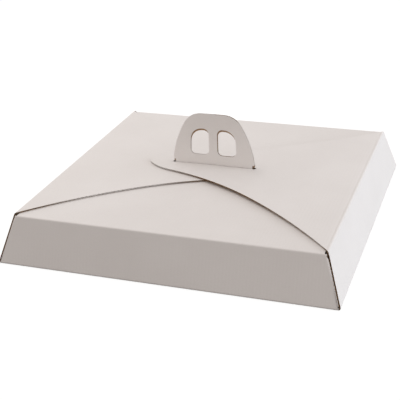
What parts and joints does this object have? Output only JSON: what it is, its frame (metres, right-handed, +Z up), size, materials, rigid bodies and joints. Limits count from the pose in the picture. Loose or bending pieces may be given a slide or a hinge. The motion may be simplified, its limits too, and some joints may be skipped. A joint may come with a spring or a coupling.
{
  "type": "tart box",
  "caption": "Low square folding carton for a tart, white outside and brown inside, with leaning walls, crossed flaps and an upright carrying handle.",
  "frame": {"origin": "centre of the base, on the surface the box stands on", "axes": "+Z up, -Y to the front, +X to the fold of the outer flap"},
  "size_m": [0.36, 0.36, 0.1169],
  "materials": {
    "board": "matte"
  },
  "bodies": {
    "box": {"box_body": "board"},
    "outer_flap": {"outer_flap": "board"}
  },
  "joints": [
    {"name": "outer_flap_hinge", "type": "hinge", "parent": "box", "child": "outer_flap", "pos_m": [0.16428, 0, 0.0518], "axis": [0, 1, 0], "range_deg": [0, 180]}
  ]
}
